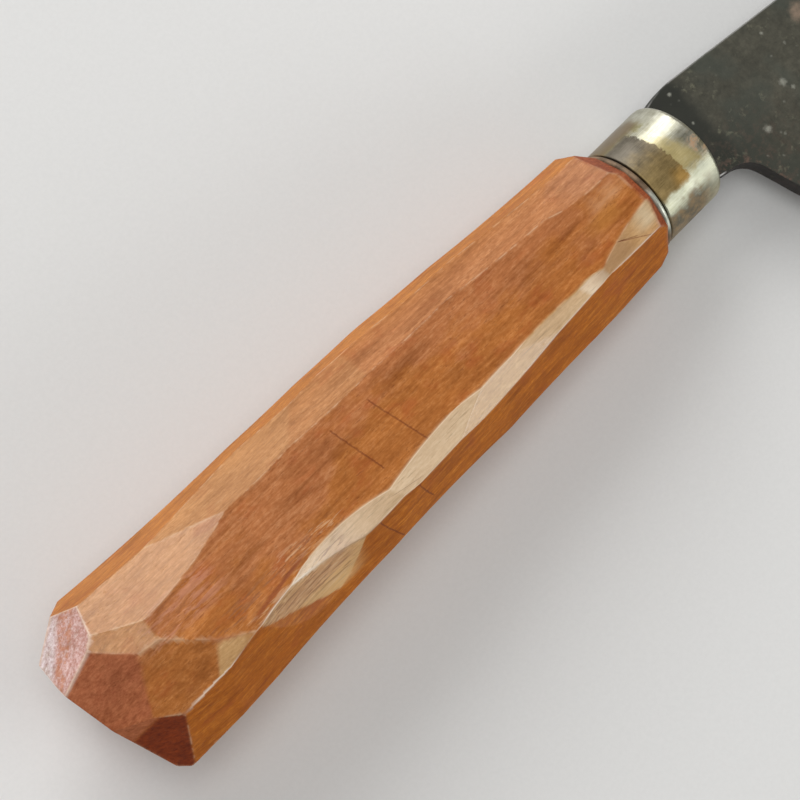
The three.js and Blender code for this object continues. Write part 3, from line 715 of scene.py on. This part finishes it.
def whittled_wood():
    """Oiled reddish-brown wood: mottled grain with pores along the axis, dusky and red clouds and weathering,
    a look for each cut (the pale strip's with a painted highlight, the dark end grain's with painted shade),
    ridges lightened as rubbed wear and painted highlight, with painted gleams and a painted shadow line, torn
    grain near the butt, a browned end by the ferrule that is paler with a painted highlight at its front,
    lighter patches painted as highlights by the nose, and a few thin lines scored across. Strips shine with a
    coat of wax."""
    at = knife_space("whittled_wood")
    warm, wax, pale, red, dark, torn, ridge = at.marks((*WOOD_MARKS, "ridge"))
    x, turn = at.axis(0), round_angle(at)

    def patch(x_low, x_high, turn_low, turn_high):
        """A soft-edged field between two places along the handle and two angles round it."""
        return x.inside(x_low, x_high, SOFT_ALONG) * turn.inside(turn_low, turn_high, SOFT_ROUND)

    cloud = at.stretched(0.5).noise(0.13, 4, 0.6)
    mottle = at.stretched(0.5).noise(2.0, 4, 0.65)
    fibre = at.stretched(0.1).noise(3.2, 4, 0.65)
    streak = at.stretched(0.05).noise(0.9, 4, 0.6, 0.5)
    grain = 0.36 * mottle + 0.36 * fibre + 0.28 * streak
    golden = grain.ramp((0.32, (0.27, 0.078, 0.014)), (0.5, (0.4, 0.136, 0.031)), (0.68, (0.56, 0.225, 0.07)))
    dusky = grain.ramp((0.32, (0.28, 0.085, 0.027)), (0.5, (0.42, 0.153, 0.056)), (0.68, (0.58, 0.26, 0.12)))
    amber = grain.ramp((0.32, (0.27, 0.06, 0.003)), (0.5, (0.425, 0.12, 0.008)), (0.68, (0.63, 0.235, 0.032)))
    tan = grain.ramp((0.34, (0.49, 0.275, 0.11)), (0.5, (0.6, 0.36, 0.155)), (0.66, (0.72, 0.46, 0.22)))
    dusk = (cloud - 0.006 * turn).between(0.46, 0.66) * turn.span(-75, -45, 15, 40)
    below_tear = turn - TEAR_SLOPE * x - TEAR_TURN + 10 * (streak - 0.5)
    below = below_tear.between(-1.5, 1.5) * turn.between(72, 64) * x.span(-102, -98, -75, -72)
    warm = warm.math("MAXIMUM", below * turn.between(18, 26))
    colour = warm.mix((0.8 * dusk).mix(golden, dusky), amber)
    pale = pale * (1 - x.between(-97, -100) * turn.span(-14, -8, 11, 17))
    pale = pale * (1 - below)
    # Painted highlight: paleness lightens the strip towards the edge, as lighter worn wood and as its
    # highlight.
    cream = grain.ramp((0.34, (0.73, 0.53, 0.35)), (0.5, (0.82, 0.63, 0.43)), (0.66, (0.88, 0.71, 0.52)))
    bleached = (pale - 1).math("MAXIMUM", 0.0)
    pale = pale.math("MINIMUM", 1.0)
    colour = bleached.mix(pale.mix(colour, tan), cream)
    blush = at.stretched(0.6).noise(0.21, 3, 0.6).between(0.54, 0.7) * (1 - pale)
    colour = (0.4 * blush).mix(colour, (0.34, 0.07, 0.018))
    # Painted shade: here the dark butt cut takes the red look, so its painted shade is lighter on this part.
    lighter = at.axis(1).between(-5.6, -4.8) * x.between(-59, -60)
    red, dark = red + 0.8 * dark * lighter, dark * (1 - lighter)
    # Painted shade: red and dark darken end grain, and paint in the shade of butt cuts turned from the lamps.
    colour = (0.85 * red).mix(colour, grain.ramp((0.36, (0.26, 0.062, 0.024)), (0.64, (0.48, 0.158, 0.07))))
    colour = (0.9 * dark).mix(colour, grain.ramp((0.36, (0.08, 0.006, 0.001)), (0.64, (0.25, 0.031, 0.004))))
    fuzz = at.noise(1.9, 4, 0.7)
    across = turn - BREAK_SLOPE * x - BREAK_TURN
    hairy = fuzz.ramp((0.36, (0.45, 0.22, 0.18)), (0.5, (0.57, 0.34, 0.3)), (0.64, (0.7, 0.51, 0.48)))
    ashen = fuzz.ramp((0.36, (0.55, 0.42, 0.42)), (0.6, (0.84, 0.77, 0.79)))
    hairy = (0.8 * across.between(-6, -14)).mix(hairy, ashen)
    broken = across.span(-10, -6, 2, 6) * at.noise(1.1, 4, 0.7).between(0.44, 0.58)
    hairy = (0.7 * broken).mix(hairy, (0.5, 0.2, 0.1))
    colour = (0.95 * torn).mix(colour, hairy)
    shreds = at.stretched(0.09).noise(2.2, 3, 0.6, 0.5)
    ripped = at.stretched(0.13).noise(1.1, 4, 0.65, 0.6)
    by_butt = patch(-112, -97, -27, -5)
    rosy_tear = by_butt * ripped.between(0.48, 0.6)
    ripple = by_butt * ripped.between(0.46, 0.38)
    above = below_tear.between(2, -2)
    raised = above * (patch(-101, -78, 17, 56) + patch(-90, -76, 4, 14))
    pale_tear = raised * shreds.between(0.54, 0.64)
    sunken = above * patch(-101, -78, 19, 48) + patch(-104, -78, 5, 16)
    dark_tear = sunken * shreds.between(0.49, 0.39)
    colour = (0.35 * above * patch(-96, -79, 25, 44)).mix(colour, (0.6, 0.3, 0.16))
    colour = (0.5 * above * patch(-92, -77, 40, 60)).mix(colour, (0.74, 0.46, 0.19))
    colour = (0.45 * rosy_tear).mix(colour, (0.56, 0.26, 0.17))
    colour = (0.35 * ripple).mix(colour, (0.24, 0.09, 0.04))
    colour = (0.36 * pale_tear).mix(colour, (0.74, 0.53, 0.33))
    colour = (0.55 * dark_tear).mix(colour, (0.24, 0.1, 0.05))
    beside = (turn - GROOVE_SLOPE * x - GROOVE_TURN + 3 * (streak - 0.5)).math("ABSOLUTE")
    groove = beside.between(1.6, 0.5) * x.span(-100, -96, -87, -82)
    colour = (0.6 * groove).mix(colour, (0.22, 0.05, 0.022))
    browned = patch(-17, -8, 10, 40) * pale
    # Painted highlight: lighter patches by the nose.
    peach_highlight = patch(-9, -2, -26, -10) * cloud.between(0.3, 0.5)
    colour = (0.4 * peach_highlight).mix(colour, (0.72, 0.42, 0.22))
    colour = (0.4 * patch(-12, -5, -10, 3)).mix(colour, (0.6, 0.26, 0.06))
    colour = (0.62 * browned).mix(colour, (0.33, 0.19, 0.1))
    # Painted highlight: the front of the end by the ferrule is paler, with its highlight painted in.
    paler_and_highlit = patch(-5, -1, 6, 28) * pale
    colour = (0.6 * paler_and_highlit).mix(colour, (0.74, 0.67, 0.48))
    lines = at.stretched(0.05).noise(2.8, 4, 0.65).between(0.57, 0.68)
    colour = (0.5 * lines * pale).mix(colour, (0.36, 0.22, 0.12))
    damp = at.stretched(0.4).noise(0.24, 5, 0.65)
    tide = 0.5 * damp + 0.5 * at.stretched(0.06).noise(1.1, 5, 0.65, 0.4)
    weather = tide.ramp((0.36, (0.72, 0.66, 0.58)), (0.5, (1.0, 1.0, 1.0)), (0.64, (1.18, 1.2, 1.22)))
    colour = (1.0 - 0.5 * pale).mix(colour, weather, "MULTIPLY")
    pores = at.stretched(0.22).noise(4.0, 2, 0.5).between(0.6, 0.68) * streak.between(0.42, 0.58)
    nicks = at.stretched(0.5, 1.6).noise(1.1, 2, 0.5, 1.5).between(0.66, 0.72)
    specks = (0.35 * pores + 0.25 * nicks).math("MINIMUM", 0.7) * (1 - 0.75 * pale)
    colour = specks.mix(colour, (0.15, 0.04, 0.01))
    scored = 0.0
    for place, slope, first, last in SCORED_LINES:
        off = (x - slope * turn + 0.5 * (mottle - 0.5) - place).math("ABSOLUTE")
        scored = off.between(0.22, 0.08) * turn.inside(first, last, 1) + scored
    scored = scored * (0.5 + cloud)
    colour = (0.6 * scored).mix(colour, (0.15, 0.035, 0.012))
    seam = ridge * patch(-105, -98.5, -4, 19)
    colour = (0.5 * seam).mix(colour, (0.36, 0.11, 0.05))
    # Painted highlight: ridges are lightened, partly as rubbed wear and partly as the highlight on their
    # arrises.
    rubbed = (ridge - seam) * at.noise(0.4, 3).between(0.4, 0.6) * (1 - red)
    colour = (0.4 * rubbed).mix(colour, (0.78, 0.56, 0.36))
    # Painted shadow on some ridges of the pale strip, and painted highlight lines along its other ridges.
    shadow_line = ridge * patch(-87, -73, 26, 44)
    colour = (0.7 * (ridge - shadow_line) * patch(-90, -34, 14, 42)).mix(colour, (0.9, 0.74, 0.55))
    colour = (0.6 * shadow_line).mix(colour, (0.36, 0.21, 0.11))
    lit = patch(-113, -103, 26, 36) + patch(-36, -3, 29, 44) + patch(-97.5, -86, 19, 30)
    gleam = ridge * (lit + 2 * torn * (1 - torn)).math("MINIMUM", 1.0)
    colour = (0.8 * gleam).mix(colour, (0.92, 0.8, 0.66))
    roughness = 0.45 + 0.25 * mottle + 0.2 * torn
    coat = wax * (1.0 + (1.2 - 0.8 * pale) * (mottle - 0.5)) * (1 - 0.7 * pores) * (1 - 0.7 * scored)
    tears = rosy_tear + pale_tear - dark_tear - ripple - groove
    height = 0.5 * streak + 0.4 * fibre + 0.6 * mottle - 0.6 * pores - 0.8 * scored
    height = height + torn * fuzz + 0.8 * tears
    sheen = {"IOR": 1.5, "Specular_IOR_Level": 0.1, "Coat_Roughness": 0.2, "Coat_IOR": 1.5}
    return finish("whittled_wood", colour, roughness, 0.0, height, depth=0.00015, coat=coat, **sheen)


handle_points, handle_split, handle_reach = handle_surface()
handle = skin("carved_handle", handle_points, split=handle_split)
mark(handle, cut_marks(handle_reach))
handle.data.set_sharp_from_angle(angle=math.radians(SHARP_DEGREES))
handle.data.materials.append(whittled_wood())
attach(handle, "root")
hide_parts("handle")

# Bead ring: a thin collar of pale metal wire between the wood and the ferrule, soldered to a ring
# and pushed on to the spigot before the ferrule. Its rounded outside is grimy, and rubbed bright in part.
RING_BACK, RING_WIDTH, RING_PROUD = 0.3, 1.1, 0.25
FERRULE_RADIUS, FERRULE_WALL = 9.5, 1.2
FERRULE_BORE = FERRULE_RADIUS - FERRULE_WALL


def turned(profile, columns=240):
    """A closed profile of (place along the axis, radius) carried round the handle's axis."""
    places, radii = np.array(profile).T
    angle = np.linspace(0, 2 * np.pi, columns, endpoint=False)
    return in_frame(places[:, None], -radii[:, None] * np.sin(angle), radii[:, None] * np.cos(angle))


def rounded(place, radius, size, first, last, steps=12):
    """Points of a rounded corner about a centre, from one angle to another in degrees."""
    angle = np.radians(np.linspace(first, last, steps))
    return np.stack((place + size * np.cos(angle), radius + size * np.sin(angle)), axis=-1)


def ring_profile():
    """The bore, and a half round over it."""
    half = RING_WIDTH / 2
    crown = rounded(RING_BACK + half, FERRULE_RADIUS + RING_PROUD - half, half, 180, 0, 24)
    return np.vstack((((RING_BACK, FERRULE_BORE),), crown, ((RING_BACK + RING_WIDTH, FERRULE_BORE),)))


def rubbed_ring():
    """Dull grey-green metal under brown grime, rubbed bright towards the edge side."""
    at = knife_space("rubbed_ring")
    dirt = at.noise(0.5, 4, 0.6)
    turn = round_angle(at)
    bare = (turn + 24 * (dirt - 0.5)).between(2, 18) * turn.between(66, 48)
    scuffed = at.noise(0.14, 2).between(0.56, 0.68) * turn.math("ABSOLUTE").between(70, 90)
    bare = (bare + 0.7 * scuffed).math("MINIMUM", 1.0)
    grime = dirt.ramp((0.35, (0.1, 0.065, 0.036)), (0.65, (0.26, 0.17, 0.1)))
    metal = dirt.ramp((0.35, (0.36, 0.38, 0.31)), (0.65, (0.64, 0.66, 0.57)))
    colour = bare.mix(grime, metal)
    return finish("rubbed_ring", colour, 0.6 - 0.15 * bare, 0.25 + 0.5 * bare, dirt, bump=0.25)


ring = skin("bead_ring", turned(ring_profile()), "joined")
ring.data.materials.append(rubbed_ring())
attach(ring, "root")
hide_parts("back_ring")

# Ferrule: a length of brass tube, plated once and now worn, with its front rim rolled over.
# It is pushed on the wooden spigot up to the bead ring and keeps the wood from splitting.
FERRULE_BACK, RIM_ROUND, BACK_BREAK, MOUTH_BREAK = 1.7, 0.9, 0.25, 0.15


def ferrule_profile():
    """Bore, broken back edge, outside, rounded front rim, broken edge of the mouth."""
    outside = np.linspace(FERRULE_BACK + BACK_BREAK, FERRULE_FRONT - RIM_ROUND, 12)[1:-1]
    return np.vstack((
        ((FERRULE_BACK, FERRULE_BORE),),
        rounded(FERRULE_BACK + BACK_BREAK, FERRULE_RADIUS - BACK_BREAK, BACK_BREAK, 180, 90, 5),
        np.stack((outside, np.full_like(outside, FERRULE_RADIUS)), axis=-1),
        rounded(FERRULE_FRONT - RIM_ROUND, FERRULE_RADIUS - RIM_ROUND, RIM_ROUND, 90, 0),
        rounded(FERRULE_FRONT - MOUTH_BREAK, FERRULE_BORE + MOUTH_BREAK, MOUTH_BREAK, 0, -90, 4),
    ))


def worn_plate():
    """Brushed plate, from silver to pale gold, greenish on the edge side and under a gold film on top. A dull
    window behind has a ragged front line; it is grey on the spine side and brown on the edge side, with the
    same wear underneath. Olive, brown and rusty blotches lie round it, and painted shade darkens the back on
    the spine side and underneath."""
    at = knife_space("worn_plate")
    x, turn = at.axis(0), round_angle(at)
    cloud = at.noise(0.22, 4, 0.6)
    blotch = at.noise(0.55, 4, 0.65)
    fray = blotch - 0.5
    brushed = at.stretched(0.07).noise(5.0, 4, 0.65)
    ragged = at.noise(1.6, 3, 0.7)
    tone = 0.45 * cloud + 0.25 * blotch + 0.3 * brushed
    silver = tone.ramp((0.36, (0.3, 0.28, 0.2)), (0.5, (0.54, 0.53, 0.43)), (0.64, (0.74, 0.74, 0.68)))
    gold = tone.ramp((0.36, (0.24, 0.2, 0.1)), (0.5, (0.44, 0.4, 0.25)), (0.64, (0.64, 0.6, 0.43)))
    gilt = (cloud + 0.12 * turn.between(-20, 25) + 0.1 * x.between(10.5, 8.5)).between(0.48, 0.64)
    colour = gilt.mix(silver, gold)
    greenish = turn.span(14, 30, 50, 70)
    colour = (0.85 * greenish).mix(colour, tone.ramp((0.36, (0.27, 0.28, 0.2)), (0.64, (0.56, 0.58, 0.48))))
    film = (turn + 24 * (cloud - 0.5)).between(-26, -8) * (turn + 30 * fray).between(26, 12)
    film = film * (x - 0.06 * turn + 2 * fray).between(12.4, 10.4)
    colour = (0.8 * film).mix(colour, tone.ramp((0.36, (0.38, 0.29, 0.09)), (0.64, (0.62, 0.5, 0.22))))
    olive = turn.span(-66, -56, -46, -38) * (x + 3 * blotch).between(13, 11)
    colour = (0.7 * olive * blotch.between(0.42, 0.56)).mix(colour, (0.26, 0.24, 0.09))
    worn = (0.5 * blotch + 0.5 * cloud + 0.3 * turn.between(34, 64)).between(0.48, 0.72)
    worn = worn * turn.span(26, 46, 80, 130) * (x + 2 * cloud).between(15, 10)
    colour = (0.85 * worn).mix(colour, blotch.ramp((0.4, (0.06, 0.04, 0.016)), (0.62, (0.22, 0.125, 0.035))))
    rim = blotch.between(0.42, 0.58) * turn.span(-12, 2, 12, 24) * x.between(10.8, 12.6)
    colour = (0.7 * rim).mix(colour, (0.42, 0.2, 0.07))
    rust = (worn + rim).math("MINIMUM", 1.0)
    # Painted shade: darker brown towards the back, round the spine side and underneath.
    shade = turn.span(-150, -120, -60, -46) * (x + 3 * blotch).between(13.5, 10.5)
    colour = (0.8 * shade).mix(colour, (0.22, 0.15, 0.085))
    front = (x - 0.02 * turn + 1.8 * (ragged - 0.5)).between(8.25, 7.9)
    top = (turn + 10 * fray).between(-57, -50) * (turn + 14 * fray).between(30, 22)
    under = turn.math("ABSOLUTE").between(118, 132) * cloud.between(0.4, 0.52)
    window = front * (top + under).math("MINIMUM", 1.0)
    grey = tone.ramp((0.36, (0.085, 0.072, 0.052)), (0.64, (0.23, 0.205, 0.165)))
    brown = tone.ramp((0.36, (0.17, 0.115, 0.042)), (0.64, (0.5, 0.37, 0.17)))
    dull = (turn + 30 * fray).between(-38, 6).mix(grey, brown)
    rusty = (turn + 26 * fray).between(4, 18) * x.between(4.5, 7)
    dull = (0.6 * rusty).mix(dull, tone.ramp((0.36, (0.26, 0.13, 0.02)), (0.64, (0.56, 0.33, 0.08))))
    colour = window.mix(colour, dull)
    roughness = 0.28 + 0.22 * window + 0.14 * brushed + 0.15 * rust + 0.25 * greenish * blotch
    metallic = 1.0 - 0.8 * rust - 0.7 * film * (1 - window)
    return finish("worn_plate", colour, roughness, metallic, brushed + cloud - 0.4 * window, bump=0.2)


ferrule = skin("tube_ferrule", turned(ferrule_profile()), "joined")
ferrule.data.materials.append(worn_plate())
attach(ferrule, "root")
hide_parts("ferrule")

# Floor: a plain pale sheet under the knife, swept level to the horizon.
FLOOR_HALF = 3.0
FLOOR_DROP = 0.0002
corners = np.array(((-1, -1), (1, -1), (1, 1), (-1, 1))) * FLOOR_HALF
floor_mesh = bpy.data.meshes.new("pale_floor")
floor_mesh.from_pydata([(cx, cy, -FLOOR_DROP) for cx, cy in corners.tolist()], [], [(0, 1, 2, 3)])
floor = added("pale_floor", floor_mesh)
paper = knife_space("pale_paper")
fleck = paper.noise(1.5, 2)
fleck_colour = fleck.ramp((0.3, (0.735, 0.735, 0.725)), (0.7, (0.755, 0.755, 0.745)))
floor.data.materials.append(finish("pale_paper", fleck_colour, 0.8, 0.0, fleck, bump=0.05))

# Studio light: a dim even surround and three soft boxes. One stands low off the edge side, so that the
# strip of facets there mirrors it, a wide one off the spine side, and one hangs over the butt.
world = bpy.data.worlds.new("studio")
world.use_nodes = True
surround = world.node_tree.nodes["Background"]
surround.inputs["Color"].default_value = (1, 0.99, 0.97, 1)
surround.inputs["Strength"].default_value = 0.22
bpy.context.scene.world = world
HANDLE_MIDDLE = in_frame(-49.0, 0.0, 0.0)


def stance(side, up, back, place):
    """The matrix of an object with these three axes at this place."""
    matrix = np.eye(4)
    matrix[:3] = np.stack((side, up, back, place), axis=-1)
    return matrix.T.tolist()


# Each box: name, way from the middle of the handle, metres away, width and height, watts.
SOFT_BOXES = (
    ("edge_box", (0.46, -0.815, 0.35), 1.65, (0.88, 0.62), 9.2),
    ("spine_box", (0.2, 0.85, 0.5), 1.87, (1.76, 1.1), 29.0),
    ("top_box", (-0.3, 0.1, 0.95), 2.2, (1.1, 1.1), 16.0),
)
for box_name, towards, distance, size, power in SOFT_BOXES:
    lamp = bpy.data.lights.new(box_name, "AREA")
    lamp.shape = "RECTANGLE"
    lamp.size, lamp.size_y = size
    lamp.energy = power
    out = np.array(towards) / np.linalg.norm(towards)
    side = np.cross((0, 0, 1), out)
    side /= np.linalg.norm(side)
    place = HANDLE_MIDDLE + out * distance
    added(box_name, lamp).matrix_world = stance(side, np.cross(out, side), out, place)

# Camera: above and behind the butt, rolled so that the handle runs from the lower left to the upper
# right of the picture and the blade leaves it at the corner.
TILT, ROLL = math.radians(23), math.radians(44.7)
CAMERA_DISTANCE = 560.0
FOCAL_PIXELS, FRAME_PIXELS = 3610.0, 800.0
AIM = in_frame(-50.8, 2.95, 0.0)
back = -math.sin(TILT) * ALONG + math.cos(TILT) * UPWARD
receding = math.cos(TILT) * ALONG + math.sin(TILT) * UPWARD
right = math.cos(ROLL) * receding - math.sin(ROLL) * SPINEWARD
up = math.sin(ROLL) * receding + math.cos(ROLL) * SPINEWARD
camera = bpy.data.cameras.new("camera")
camera.sensor_width = 36.0
camera.lens = camera.sensor_width * FOCAL_PIXELS / FRAME_PIXELS
camera.clip_start = 0.01
viewer = added("camera", camera)
viewer.matrix_world = stance(right, up, back, AIM + back * CAMERA_DISTANCE / 1000)
bpy.context.scene.camera = viewer
bpy.context.scene.view_settings.view_transform = "Standard"
